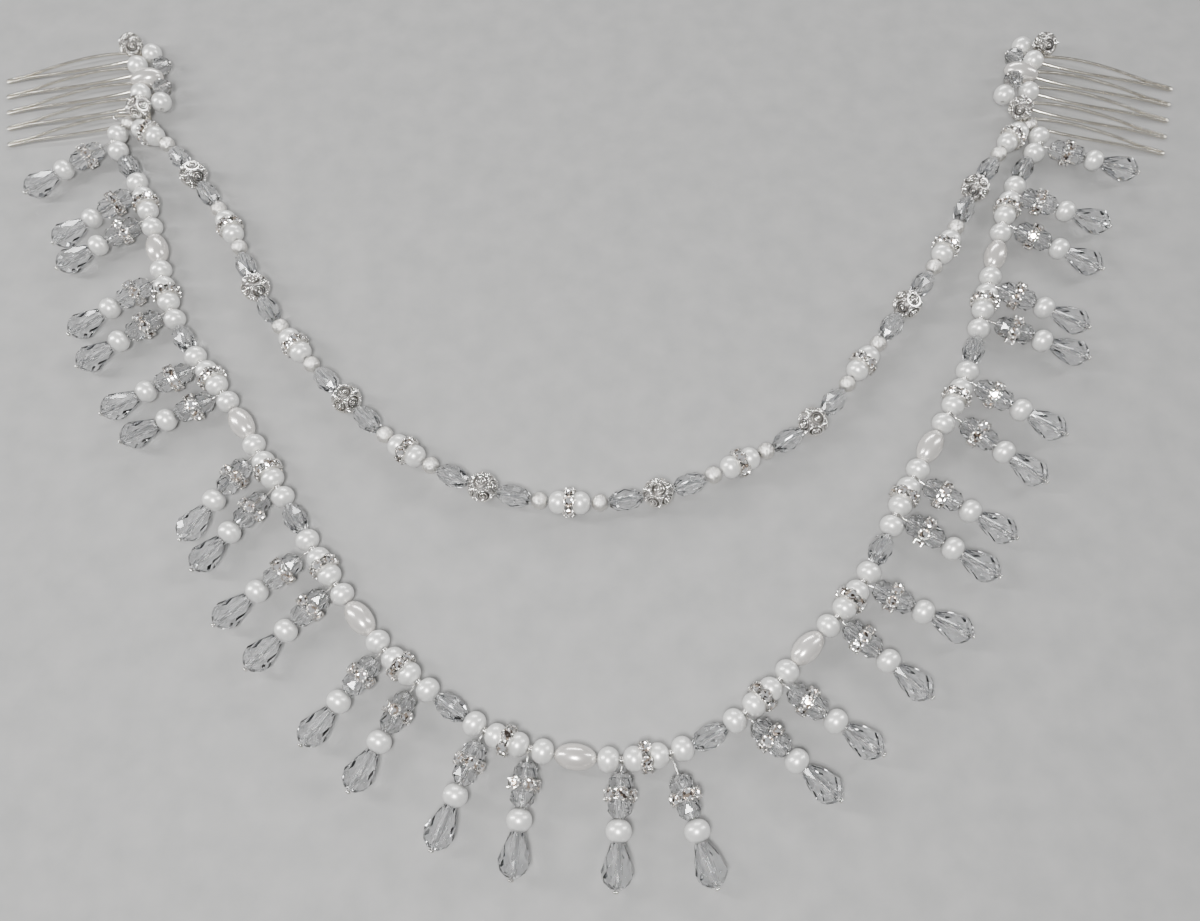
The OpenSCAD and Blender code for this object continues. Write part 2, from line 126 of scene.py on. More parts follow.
LAMPS = [
    # name, place in mm, size in mm, power in watts
    ("lamp_by_camera", (-50, -230, 430), (110, 110), 3.5),
    ("lamp_left", (-520, 60, 330), (70, 400), 3.4),
    ("lamp_right", (540, 140, 360), (70, 400), 2.0),
    ("lamp_behind", (0, 520, 300), (500, 60), 2.6),
]
for name, place, size, power in LAMPS:
    bpy.ops.object.light_add(type="AREA", location=Vector(place) * MM)
    lamp = bpy.context.object
    lamp.name = name
    lamp.rotation_euler = Vector(place).to_track_quat("Z", "Y").to_euler()
    lamp.data.shape = "RECTANGLE"
    lamp.data.size, lamp.data.size_y = size[0] * MM, size[1] * MM
    lamp.data.energy = power
room = bpy.data.worlds.new("dim_room")
room.use_nodes = True
room.node_tree.nodes["Background"].inputs["Color"].default_value = (0.75, 0.77, 0.8, 1)
room.node_tree.nodes["Background"].inputs["Strength"].default_value = 0.3
bpy.context.scene.world = room

# Round pearls. Glass beads under a coat of pearl lacquer, drilled and strung, a little shorter along the hole
# than across it. Each stands where the frame has its bead, and two stand in each rondelle of the strands.
same_place = 0.001  # points and planes closer than this are one
size_slack = 0.2  # how far a bead may be off its size and still be known by it
golden_angle = math.radians(137.508)
hole_r = 0.6


def solids_in(node):
    """The loose solids of a CAD node, each as the two ends of its axis and its width."""
    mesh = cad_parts[node].data
    points = np.empty(len(mesh.vertices) * 3)
    mesh.vertices.foreach_get("co", points)
    points = points.reshape(-1, 3) / MM
    mesh.calc_loop_triangles()
    corners = np.empty(len(mesh.loop_triangles) * 3, np.int32)
    mesh.loop_triangles.foreach_get("vertices", corners)
    cells = np.round(points / same_place)
    _, first, same = np.unique(cells, axis=0, return_index=True, return_inverse=True)
    points = points[first]
    corners = same.ravel()[corners].reshape(-1, 3)
    # each point takes the lowest number that it can reach over faces, so a solid's points share one
    group = np.arange(len(points))
    while True:
        joined = group.copy()
        np.minimum.at(joined, corners.ravel(), np.repeat(group[corners].min(axis=1), 3))
        joined = joined[joined]
        if (joined == group).all():
            break
        group = joined
    # the axis is the way in which the surface spreads least or most, whichever stands out
    found = []
    for g in np.unique(group[corners[:, 0]]):
        faces = points[corners[group[corners[:, 0]] == g]]
        normals = np.cross(faces[:, 1] - faces[:, 0], faces[:, 2] - faces[:, 0])
        area = np.linalg.norm(normals, axis=1)
        middle = (faces.mean(axis=1) * area[:, None]).sum(axis=0) / area.sum()
        arms = faces - middle
        sums = arms.sum(axis=1)
        spread = np.einsum("n,nki,nkj->ij", area, arms, arms)
        spread += np.einsum("n,ni,nj->ij", area, sums, sums)
        sizes, ways = np.linalg.eigh(spread)
        way = ways[:, 0] if sizes[1] - sizes[0] > sizes[2] - sizes[1] else ways[:, 2]
        along = arms.reshape(-1, 3) @ way
        across = np.linalg.norm(arms.reshape(-1, 3) - np.outer(along, way), axis=1)
        low, high = (Vector(middle + end * way) for end in (along.min(), along.max()))
        found.append((low, high, 2 * across.max()))
    return found


drop_nodes = sorted(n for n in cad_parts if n.startswith("drop_"))
strand_nodes = ["outer_strand", "inner_strand"]
cluster_nodes = ["cluster_left", "cluster_right"]
solids = {n: solids_in(n) for n in strand_nodes + cluster_nodes + drop_nodes}


def beads(size, nodes):
    """The two ends of each bead of these nodes that is that long along its hole and that wide."""
    length, width = size
    return [
        (a, b)
        for n in nodes
        for a, b, w in solids[n]
        if abs((b - a).length - length) < size_slack and abs(w - width) < size_slack
    ]


def two_of(size, length, nodes):
    """The ends of the two beads, each that long, that every rondelle of that size holds."""
    both = []
    for a, b in beads(size, nodes):
        way = (b - a).normalized()
        both += [(a, a + length * way), (b, b - length * way)]
    return both


def set_down(a, b, turn=0.0):
    """The place of a model that stands round the origin, its hole along Z, when the hole runs from a to b."""
    facing = (b - a).to_track_quat("Z", "Y").to_matrix().to_4x4()
    return (
        Matrix.Scale(MM, 4)
        @ Matrix.Translation((a + b) / 2)
        @ facing
        @ Matrix.Rotation(turn, 4, "Z")
    )


def set_all_down(ends, turned=False):
    """The places of beads with these pairs of ends, each turned its own way about its hole if that shows."""
    return [set_down(a, b, k * golden_angle if turned else 0.0) for k, (a, b) in enumerate(ends)]


def bench(name):
    """An empty piece on the bench, open for editing."""
    bpy.ops.object.select_all(action="DESELECT")
    piece = bpy.data.objects.new(name, bpy.data.meshes.new(name))
    bpy.context.scene.collection.objects.link(piece)
    bpy.context.view_layer.objects.active = piece
    piece.select_set(True)
    bpy.ops.object.mode_set(mode="EDIT")
    return piece


def pick(piece, wanted, kind="verts"):
    """Selects the vertices, edges or faces of the piece on the bench that are wanted, and no others."""
    bpy.ops.mesh.select_mode(type={"verts": "VERT", "edges": "EDGE", "faces": "FACE"}[kind])
    bpy.ops.mesh.select_all(action="DESELECT")
    shape = bmesh.from_edit_mesh(piece.data)
    for part in getattr(shape, kind):
        if wanted(part):
            part.select_set(True)
    shape.select_flush_mode()
    bmesh.update_edit_mesh(piece.data)


def off_the_bench(piece, smooth_below=35):
    """Ends the editing: doubles merged, faces outwards, and edges smooth below that angle."""
    bpy.ops.mesh.select_all(action="SELECT")
    bpy.ops.mesh.remove_doubles(threshold=same_place / 2)
    bpy.ops.mesh.normals_make_consistent(inside=False)
    bpy.ops.object.mode_set(mode="OBJECT")
    bpy.ops.object.shade_smooth_by_angle(angle=math.radians(smooth_below))
    return piece


def turned_bead(name, across, along, out=0.0, points=26, steps=28):
    """Presses a ring into the bead's outline, cuts it at the hole and spins it round the hole."""
    piece = bench(name)
    bpy.ops.mesh.primitive_circle_add(vertices=points, radius=1, rotation=(math.pi / 2, 0, 0))
    bpy.ops.transform.resize(value=(across, 1, along))
    bpy.ops.transform.translate(value=(out, 0, 0))
    bpy.ops.mesh.bisect(plane_co=(hole_r, 0, 0), plane_no=(1, 0, 0), clear_inner=True)
    pick(piece, lambda v: v.co.x < hole_r + same_place)
    bpy.ops.mesh.edge_face_add()
    bpy.ops.mesh.select_all(action="SELECT")
    bpy.ops.mesh.spin(steps=steps, angle=2 * math.pi, center=(0, 0, 0), axis=(0, 0, 1))
    return off_the_bench(piece)


def round_bead(name, size):
    """A bead with a round outline as high as its length, moved out from the hole to make up its width."""
    half = size[0] / 2
    return turned_bead(name, half, half, size[1] / 2 - half)


def join(pieces, name):
    """Joins the pieces into one of that name."""
    bpy.ops.object.select_all(action="DESELECT")
    for piece in pieces:
        piece.select_set(True)
    bpy.context.view_layer.objects.active = pieces[0]
    if len(pieces) > 1:
        bpy.ops.object.join()
    whole = bpy.context.object
    whole.name = whole.data.name = name
    return whole


def set_out(name, model, places):
    """Copies the model to each place and joins the copies into one piece."""
    copies = []
    for place in places:
        copy = model.copy()
        copy.data = model.data.copy()
        copy.data.transform(place)
        bpy.context.scene.collection.objects.link(copy)
        copies.append(copy)
    return join(copies, name)


def deliver(piece, material, nodes):
    """The finished piece gets its finish, and rides on the frame in place of the nodes."""
    piece.data.materials.clear()
    piece.data.materials.append(material)
    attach(piece, "root")
    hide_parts(*nodes)


pearl_size = (5.1, 6.0)
pair_size = (10.7, 7.8)
nacre = paint(
    "pearl_nacre",
    Metallic=0.5,
    Roughness=0.34,
    Coat_Weight=0.6,
    Coat_Roughness=0.2,
    Thin_Film_Thickness=420,
    Thin_Film_IOR=1.4,
)
mottle(nacre, "Base Color", 7, (0.76, 0.75, 0.73, 1), (0.85, 0.84, 0.81, 1), 2)
pearl = round_bead("pearl_model", pearl_size)
strand_pearls = beads(pearl_size, strand_nodes) + two_of(pair_size, pearl_size[0], strand_nodes)
drop_pearls = beads(pearl_size, drop_nodes)
deliver(set_out("strand_pearls", pearl, set_all_down(strand_pearls)), nacre, strand_nodes)
deliver(set_out("drop_pearls", pearl, set_all_down(drop_pearls)), nacre, drop_nodes)

# Rice pearls. Long beads under a greyer, more metallic lacquer, with one long highlight. Nine are strung or
# bound: seven along the outer strand, and one across each comb.
rice_size = (10.0, 6.2)
satin = paint(
    "rice_pearl_lacquer",
    Metallic=0.55,
    Roughness=0.24,
    Coat_Weight=0.8,
    Coat_Roughness=0.1,
)
mottle(satin, "Base Color", 9, (0.63, 0.595, 0.56, 1), (0.73, 0.70, 0.665, 1), 2)
# the outline would be this high if the hole didn't cut off its ends
rice_along = rice_size[0] / 2 / math.sqrt(1 - (2 * hole_r / rice_size[1]) ** 2)
rice = turned_bead("rice_model", rice_size[1] / 2, rice_along, points=40, steps=32)
rice_places = set_all_down(beads(rice_size, ["outer_strand"]))
deliver(set_out("rice_pearls", rice, rice_places), satin, ["outer_strand"])

# Cut crystals. Clear glass, ground to facets between rings of corners and drilled: ovals on the strands,
# round ones in pairs in the drops. The bright wire shows through them.
facets = 8
flat = 0.999  # a face looks straight along Z when its normal's Z passes this
clear = paint(
    "clear_crystal",
    Base_Color=(0.985, 0.99, 1.0, 1),
    Roughness=0.015,
    IOR=1.54,
    Transmission_Weight=1.0,
    Specular_IOR_Level=0.6,
)
mottle(clear, "Roughness", 2, 0.008, 0.03)


def ground(rings):
    """Stretches faces over rings of corners, each given as height, radius and turn in half facets."""
    for height, radius, turn in rings:
        bpy.ops.mesh.primitive_circle_add(
            vertices=facets,
            radius=radius,
            location=(0, 0, height),
            rotation=(0, 0, turn * math.pi / facets),
        )
    bpy.ops.mesh.select_all(action="SELECT")
    bpy.ops.mesh.convex_hull(join_triangles=False)


def cut_crystal(name, rings):
    """Grinds the facets between rings of corners and drills the crystal from its first ring to its last."""
    piece = bench(name)
    ground(rings)
    bpy.ops.mesh.select_all(action="SELECT")
    bpy.ops.mesh.dissolve_limited(angle_limit=math.radians(0.5))
    for height, radius, _ in (rings[0], rings[-1]):
        pick(piece, lambda f: abs(f.calc_center_median().z - height) < same_place, "faces")
        bpy.ops.mesh.inset(thickness=(radius - hole_r) * math.cos(math.pi / facets))
    ends, inner = (rings[0][0], rings[-1][0]), hole_r * 1.05
    pick(
        piece,
        lambda f: abs(f.normal.z) > flat
        and min(abs(f.calc_center_median().z - end) for end in ends) < same_place
        and all(v.co.xy.length < inner for v in f.verts),
        "faces",
    )
    bpy.ops.mesh.bridge_edge_loops()
    return off_the_bench(piece, 5)


oval_size = (8.6, 6.0)
half, r = oval_size[0] / 2, oval_size[1] / 2
OVAL_RINGS = [
    (-half, 0.42 * r, 0),
    (-0.6 * half, 0.82 * r, 1),
    (0, r, 0),
    (0.6 * half, 0.82 * r, 1),
    (half, 0.42 * r, 0),
]
oval = cut_crystal("oval_model", OVAL_RINGS)
oval_places = set_all_down(beads(oval_size, strand_nodes), turned=True)
deliver(set_out("oval_crystals", oval, oval_places), clear, strand_nodes)

round_size = (4.9, 5.7)
trio_size = (10.3, 7.8)
half, r = round_size[0] / 2, round_size[1] / 2
ROUND_RINGS = [
    (-half, 0.5 * r, 0),
    (-0.4 * half, r, 1),
    (0.4 * half, r, 0),
    (half, 0.5 * r, 1),
]
round_crystal = cut_crystal("round_model", ROUND_RINGS)
round_places = set_all_down(two_of(trio_size, round_size[0], drop_nodes), turned=True)
deliver(set_out("round_crystals", round_crystal, round_places), clear, drop_nodes)

# Teardrops. Clear glass with long facets from the narrow end and short ones to the tip, one at the foot of
# each drop, where the head of the pin holds it.
tear_size = (9.8, 7.4)
length, r = tear_size[0], tear_size[1] / 2
TEAR_RINGS = [
    (-length / 2, 0.46 * r, 0),
    (-0.18 * length, 0.8 * r, 1),
    (0.12 * length, r, 0),
    (0.25 * length, 0.96 * r, 1),
    (0.36 * length, 0.79 * r, 0),
    (0.45 * length, 0.56 * r, 1),
    (length / 2, 0.34 * r, 0),
]
tear = cut_crystal("teardrop_model", TEAR_RINGS)


def shaft(node):
    """A drop's line: the middle of its crystals and rondelle, and the way from there to its tip."""
    (a, b), (c, d) = beads(trio_size, [node])[0], beads(tear_size, [node])[0]
    return (a + b) / 2, ((c + d) / 2 - (a + b) / 2).normalized()


tear_ends = []
for node in drop_nodes:
    start, way = shaft(node)
    tear_ends.append(sorted(beads(tear_size, [node])[0], key=lambda end: (end - start) @ way))
tear_places = set_all_down(tear_ends, turned=True)
deliver(set_out("teardrops", tear, tear_places), clear, drop_nodes)

# Rondelles. Two thin plated rings with a wavy edge and between them a ring of cups, each with a foil-backed
# rhinestone that faces out. They sit between two beads, which their web keeps apart.
silver = paint("silver_plate", Metallic=1.0)
mottle(silver, "Base Color", 3, (0.80, 0.775, 0.735, 1), (0.90, 0.885, 0.86, 1))
mottle(silver, "Roughness", 0.8, 0.12, 0.26)
foil = paint(
    "foiled_rhinestone_painted_glints",
    Metallic=0.85,
    Roughness=0.05,
    Coat_Weight=1.0,
    Coat_Roughness=0.01,
)
# painted glints: the rhinestones' colour is small cells of dark, gold, near-white and white that stand in for
# their sparkle and dark reflections
painted_glint_size = 0.62
PAINTED_GLINTS = [
    # from which part of the cells' range on, and in what painted colour a cell of the stone shows: dark
    # painted reflection, gold, then near-white and white painted glints
    (0.0, (0.10, 0.075, 0.06)),
    (0.28, (0.62, 0.50, 0.40)),
    (0.42, (0.93, 0.88, 0.86)),
    (0.56, (1, 1, 1)),
]
tree = foil.node_tree
where = tree.nodes.new("ShaderNodeTexCoord")
cells = tree.nodes.new("ShaderNodeTexVoronoi")
cells.inputs["Scale"].default_value = 1 / (painted_glint_size * MM)
painted_glints = tree.nodes.new("ShaderNodeValToRGB")
painted_glints.color_ramp.interpolation = "CONSTANT"
for k, (place, color) in enumerate(PAINTED_GLINTS):
    stop = painted_glints.color_ramp.elements[0] if k == 0 else painted_glints.color_ramp.elements.new(place)
    stop.position, stop.color = place, (*color, 1)
tree.links.new(where.outputs["Object"], cells.inputs["Vector"])
tree.links.new(cells.outputs["Color"], painted_glints.inputs["Fac"])
tree.links.new(painted_glints.outputs["Color"], tree.nodes["Principled BSDF"].inputs["Base Color"])

stones = 6
stone_r = 1.36
rondelle_r = 3.9
plate_r, plate_width, plate_z, plate_thick = 3.5, 1.3, 0.95, 0.28
rim_corners = 6  # of the plate's rim for each stone
rim_dip = 0.12
RIM_WAVE = ((3, 0.89), (2, 0.94), (4, 0.94))  # corners between two stones, and how far each is drawn in
web_r, web_thick = 2.75, 0.5
cup_wall, cup_depth, cup_foot = 0.18, 0.95, 0.55
seat_depth, seat_foot = 0.45, 0.8
prongs, prong_foot, prong_tip, prong_l = 4, 0.26, 0.1, 0.5
cup_out = rondelle_r - 0.84

plate = bench("rondelle_plate")
bpy.ops.mesh.primitive_circle_add(
    vertices=rim_corners * stones, radius=plate_r, location=(0, 0, plate_z), fill_type="NGON"
)
bpy.ops.mesh.inset(thickness=plate_width)
bpy.ops.mesh.delete(type="FACE")
for corner, size in RIM_WAVE:
    pick(
        plate,
        lambda v: v.co.xy.length > plate_r - 0.5
        and round(math.degrees(math.atan2(v.co.y, v.co.x)) / 360 * rim_corners * stones) % rim_corners
        == corner,
    )
    bpy.ops.transform.resize(value=(size, size, 1), center_override=(0, 0, plate_z))
    bpy.ops.transform.translate(value=(0, 0, -rim_dip))
bpy.ops.mesh.select_all(action="SELECT")
bpy.ops.mesh.extrude_region_move(TRANSFORM_OT_translate={"value": (0, 0, plate_thick)})
off_the_bench(plate)
other_plate = plate.copy()
other_plate.data = plate.data.copy()
other_plate.data.transform(Matrix.Rotation(math.pi, 4, "X"))
bpy.context.scene.collection.objects.link(other_plate)

web = bench("rondelle_web")
bpy.ops.mesh.primitive_cylinder_add(vertices=24, radius=web_r, depth=web_thick)
pick(web, lambda f: abs(f.normal.z) > flat, "faces")
bpy.ops.mesh.inset(thickness=web_r - hole_r)
bpy.ops.mesh.bridge_edge_loops()
off_the_bench(web)

cup = bench("stone_cup")
bpy.ops.mesh.primitive_cylinder_add(vertices=12, radius=stone_r + cup_wall, depth=cup_depth)
pick(cup, lambda f: f.normal.z < -flat, "faces")
bpy.ops.transform.resize(value=(cup_foot, cup_foot, 1))
pick(cup, lambda f: f.normal.z > flat, "faces")
bpy.ops.mesh.inset(thickness=cup_wall)
bpy.ops.transform.translate(value=(0, 0, -seat_depth))
bpy.ops.transform.resize(value=(seat_foot, seat_foot, 1))
for k in range(prongs):
    bpy.ops.mesh.primitive_cone_add(
        vertices=5,
        radius1=prong_foot,
        radius2=prong_tip,
        depth=prong_l,
        location=Matrix.Rotation(2 * math.pi * (k + 0.5) / prongs, 3, "Z") @ Vector((stone_r, 0, 0.5)),
    )
off_the_bench(cup)

STONE_RINGS = [
    (0.72, 0.5 * stone_r, 0),
    (0.42, 0.84 * stone_r, 1),
    (0.06, stone_r, 0),
    (-0.06, stone_r, 0),
    (-0.5, 0.2 * stone_r, 0),
]
stone = bench("rhinestone_model")
ground(STONE_RINGS)
off_the_bench(stone, 5)

round_ring = [
    Matrix.Rotation(2 * math.pi * k / stones, 4, "Z")
    @ Matrix.Translation((cup_out, 0, 0))
    @ Matrix.Rotation(math.pi / 2, 4, "Y")
    for k in range(stones)
]
rondelle = join([set_out("cups", cup, round_ring), plate, other_plate, web], "rondelle_model")
rhinestones = set_out("rhinestones_model", stone, round_ring)
strand_places = set_all_down(beads(pair_size, strand_nodes), turned=True)
drop_places = set_all_down(beads(trio_size, drop_nodes), turned=True)
deliver(set_out("strand_rondelles", rondelle, strand_places), silver, strand_nodes)
deliver(set_out("strand_rhinestones", rhinestones, strand_places), foil, strand_nodes)
deliver(set_out("drop_rondelles", rondelle, drop_places), silver, drop_nodes)
deliver(set_out("drop_rhinestones", rhinestones, drop_places), foil, drop_nodes)

# Filigree balls. Silver wire in rings and scrolls with grains in the gaps, over a thin dark ball inside,
# painted shade that stands for the dark hollow seen through the gaps. The inner strand has eight, and each
# cluster two smaller ones at its ends.
ball_d = 8.0
small_ball_d = 7.2
scroll_wire = 0.42
ring_lean, ring_steps = 29.5, 22
scroll_lean, scroll_end, scroll_turns, scroll_steps = 24, 4, 2, 30
grain_r, grain_sunk, pole_grain = 0.45, 0.4, 0.8
shade_ball_r = ball_d / 2 - 0.75
# painted shade: the dark inner ball is coloured to stand in for the shade inside the hollow filigree
dark = paint("painted_shade_silver", Metallic=1.0, Roughness=0.42)
mottle(dark, "Base Color", 1.2, (0.13, 0.12, 0.11, 1), (0.34, 0.32, 0.30, 1))
bpy.ops.mesh.primitive_ico_sphere_add(subdivisions=1, radius=1)
twelve = bpy.context.object
poles = [v.co.copy() for v in twelve.data.vertices]
gaps = [f.center.normalized() for f in twelve.data.polygons]
bpy.data.objects.remove(twelve)


def wires(name, runs, thick, sides=1):
    """Draws round wire along each run of points. A run is points and whether it closes on itself."""
    line = bpy.data.curves.new(name, "CURVE")
    line.dimensions = "3D"
    line.bevel_depth = thick / 2
    line.bevel_resolution = sides
    line.use_fill_caps = True
    for points, closed in runs:
        spline = line.splines.new("POLY")
        spline.points.add(len(points) - 1)
        spline.points.foreach_set("co", [c for p in points for c in (*p, 1)])
        spline.use_cyclic_u = closed
    bpy.ops.object.select_all(action="DESELECT")
    drawn = bpy.data.objects.new(name, line)
    bpy.context.scene.collection.objects.link(drawn)
    bpy.context.view_layer.objects.active = drawn
    drawn.select_set(True)
    bpy.ops.object.convert(target="MESH")
    drawn = bpy.context.object
    bpy.ops.object.shade_smooth_by_angle(angle=math.radians(60))
    return drawn


def on_ball(pole, out, turn):
    """A point on the ball, out degrees from the pole and turned round it."""
    lean = Matrix.Rotation(math.radians(out), 3, "X") @ Vector((0, 0, 1))
    facing = pole.to_track_quat("Z", "Y")
    return facing @ (Matrix.Rotation(turn, 3, "Z") @ lean) * (ball_d - scroll_wire) / 2


runs = []
for k, pole in enumerate(poles):
    ring = [on_ball(pole, ring_lean, 2 * math.pi * j / ring_steps) for j in range(ring_steps)]
    hand = 1 if k % 2 else -1
    scroll = []
    for j in range(scroll_steps + 1):
        out = scroll_lean - (scroll_lean - scroll_end) * j / scroll_steps
        scroll.append(on_ball(pole, out, hand * 2 * math.pi * scroll_turns * j / scroll_steps + k))
    runs += [(ring, True), (scroll, False)]
scrolls = wires("scrolls", runs, scroll_wire)
grain = bench("grain")
bpy.ops.mesh.primitive_ico_sphere_add(subdivisions=2, radius=grain_r)
off_the_bench(grain)
grain_out = ball_d / 2 - grain_sunk
grain_places = [Matrix.Translation(gap * grain_out) for gap in gaps]
grain_places += [Matrix.Translation(pole * grain_out) @ Matrix.Scale(pole_grain, 4) for pole in poles]
filigree = join([scrolls, set_out("grains", grain, grain_places)], "filigree_model")
shade_ball = turned_bead("shade_ball_model", shade_ball_r, shade_ball_r, steps=24)
ball_places = set_all_down(beads((ball_d, ball_d), ["inner_strand"]), turned=True)
deliver(set_out("ball_painted_shade", shade_ball, ball_places), dark, ["inner_strand"])
deliver(set_out("filigree_balls", filigree, ball_places), silver, ["inner_strand"])

# Stardust beads. Small silver beads, struck all over so that they glitter like frost: two beside each group
# of the inner strand, and one at each end, where both threads meet.
stardust_size = (4.23, 4.5)
join_size = (3.95, 4.2)
frosted = paint("stardust_silver", Metallic=1.0, Roughness=0.3)
mottle(frosted, "Base Color", 0.5, (0.72, 0.69, 0.64, 1), (0.98, 0.96, 0.93, 1))
roughen(frosted, "ShaderNodeTexVoronoi", 0.22, 0.09)
stardust = round_bead("stardust_model", stardust_size)
stardust_places = set_all_down(beads(stardust_size, ["inner_strand"]))
smaller = Matrix.Scale(join_size[1] / stardust_size[1], 4)
stardust_places += [place @ smaller for place in set_all_down(beads(join_size, ["outer_strand"]))]
deliver(set_out("stardust_beads", stardust, stardust_places), frosted, strand_nodes)

# Head pins. Each drop hangs on one silver wire: wound almost twice round the thread, bent down through the
# beads, with a round head under the teardrop.
pin_wire = 0.44
eye_r = 0.5 + pin_wire / 2
neck = 2  # about how far the thread is from the first crystal
bend_out, bend_run = 2.0, 0.5
coil_turns, coil_steps, coil_from = 1.9, 34, math.radians(20)
coil_rise = 1.04 * pin_wire * coil_turns
pin_past_tip = 0.3
head_r, head_flat, head_from, head_to = 0.75, 0.6, 0.15, 0.9
strand_ends = [(end, end - other) for a, b, _ in solids["outer_strand"] for end, other in ((a, b), (b, a))]
pin_runs, head_places = [], []
for node in drop_nodes:
    start, way = shaft(node)
    tip = max((end - start) @ way for end in beads(tear_size, [node])[0])
    near = start - (trio_size[0] / 2 + neck) * way
    (one, one_way), (two, two_way) = sorted(strand_ends, key=lambda end: (end[0] - near).length)[:2]
    # the eye lies between the two nearest beads of the strand, its axis along the thread
    eye = (one + two) / 2
    axis = (one_way.normalized() - two_way.normalized()).normalized()
    aside = (start - eye) - (start - eye) @ way * way
    bend = eye + aside + math.sqrt(max(0, bend_out**2 - aside.length_squared)) * way
    out = ((bend - eye) - (bend - eye) @ axis * axis).normalized()
    side = axis.cross(out)
    coil = []
    for j in range(coil_steps + 1):
        angle = 2 * math.pi * coil_turns * (1 - j / coil_steps) + coil_from
        around = math.cos(angle) * out + math.sin(angle) * side
        coil.append(eye + eye_r * around + (0.5 - j / coil_steps) * coil_rise * axis)
    pin_end = start + (tip + pin_past_tip) * way
    pin_runs.append((coil + [bend, bend + bend_run * way, start, pin_end], False))
    head_places.append(set_down(start + (tip + head_from) * way, start + (tip + head_to) * way))
pins = wires("pins", [([p * MM for p in run], closed) for run, closed in pin_runs], pin_wire * MM, 2)
head = bench("head_model")
bpy.ops.mesh.primitive_uv_sphere_add(segments=14, ring_count=10, radius=head_r)
bpy.ops.transform.resize(value=(1, 1, head_flat))
off_the_bench(head)
deliver(join([pins, set_out("heads", head, head_places)], "head_pins"), silver, drop_nodes)

# Threads. Fine steel wire runs through every bead of the strands. The frame's own wire has the right shape,
# so it only gets its finish here, as do the wires that bind the clusters.
strandy = paint("beading_wire", Metallic=1.0, Roughness=0.3)
mottle(strandy, "Base Color", 0.3, (0.62, 0.62, 0.62, 1), (0.85, 0.85, 0.84, 1))
for node in ("outer_thread", "inner_thread", "cluster_wire_left", "cluster_wire_right"):
    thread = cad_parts[node]
    thread.data.materials.clear()
    thread.data.materials.append(strandy)

# Combs. Five teeth, each one champagne-silver wire bent to a hairpin: one side runs nearly straight, the
# other bows out and up, and they meet before the tip. Fine wire wound closely round a rod holds them.
champagne = paint("comb_wire", Metallic=1.0)
mottle(champagne, "Base Color", 4, (0.80, 0.745, 0.64, 1), (0.88, 0.84, 0.75, 1))
mottle(champagne, "Roughness", 1.5, 0.14, 0.26)
teeth, tooth_pitch = 5, 6.4
tooth_l, tooth_wire, tooth_spread, tooth_bow = 43.0, 0.9, 3.8, 1.6
half_pair = 0.55 * tooth_wire
eye_end, eye_power = 0.84, 0.75  # where the sides of a tooth meet, and how far back they are widest apart
leg_steps = 30
spine_d, spine_l = 1.7, 28.8
core_d, core_short = 0.9, 0.1
winding_d, winding_pitch, winding_steps = 0.5, 0.52, 10
winding_r = (spine_d - winding_d) / 2


def comb_ways(turn, inward):
    """A comb's own ways when it is turned by that angle: from its tips to its spine, and along the spine."""
    turn = math.radians(turn)
    return (
        Vector((inward * math.cos(turn), math.sin(turn), 0)),
        Vector((-inward * math.sin(turn), math.cos(turn), 0)),
    )


def leg(u, side):
    """A point on one side of a tooth, u from the spine to the tip, in the comb's own frame."""
    eye = 0 if u > eye_end else math.sin(math.pi * (u / eye_end) ** eye_power)
    across = side * (half_pair + (tooth_spread - tooth_wire) / 2 * eye)
    up = spine_d / 2 + (tooth_wire - spine_d) / 2 * u + tooth_bow * 2 * u * (1 - u)
    return Vector((-u * (tooth_l - tooth_wire), across, up + (tooth_bow * 0.5 * eye if side > 0 else 0)))


def comb_points(place, points):
    """Points of a comb's own frame, brought to where that comb lies, in metres."""
    foot, to_spine, along = place
    return [(foot + p.x * to_spine + p.y * along + Vector((0, 0, p.z))) * MM for p in points]


comb_places = {
    "comb_left": (Vector((-136.57, 112.74, 0)), *comb_ways(11, 1)),
    "comb_right": (Vector((136.51, 97.58, 0)), *comb_ways(19, -1)),
}
for node, place in comb_places.items():
    tooth_runs = []
    for k in range(teeth):
        middle = Vector((0, (k - (teeth - 1) / 2) * tooth_pitch, 0))
        run = [leg(j / leg_steps, 1) for j in range(leg_steps + 1)]
        for degrees in range(30, 180, 30):
            bend = math.radians(degrees)
            run.append(leg(1, 0) + half_pair * Vector((-math.sin(bend), math.cos(bend), 0)))
        run += [leg(j / leg_steps, -1) for j in range(leg_steps, -1, -1)]
        tooth_runs.append((comb_points(place, [p + middle for p in run]), False))
    tooth_piece = wires(node + "_teeth", tooth_runs, tooth_wire * MM, 4)
    core_half = spine_l / 2 - core_short
    rod = [Vector((0, -core_half, spine_d / 2)), Vector((0, core_half, spine_d / 2))]
    core = wires(node + "_rod", [(comb_points(place, rod), False)], core_d * MM, 3)
    count = int((spine_l - winding_d) / winding_pitch)
    coil = []
    for j in range(count * winding_steps + 1):
        angle = 2 * math.pi * j / winding_steps
        coil.append(
            Vector((
                winding_r * math.cos(angle),
                -count * winding_pitch / 2 + winding_pitch * j / winding_steps,
                spine_d / 2 + winding_r * math.sin(angle),
            ))
        )
    winding = wires(node + "_winding", [(comb_points(place, coil), False)], winding_d * MM, 1)
    deliver(join([tooth_piece, core, winding], "wire_" + node), champagne, [node])

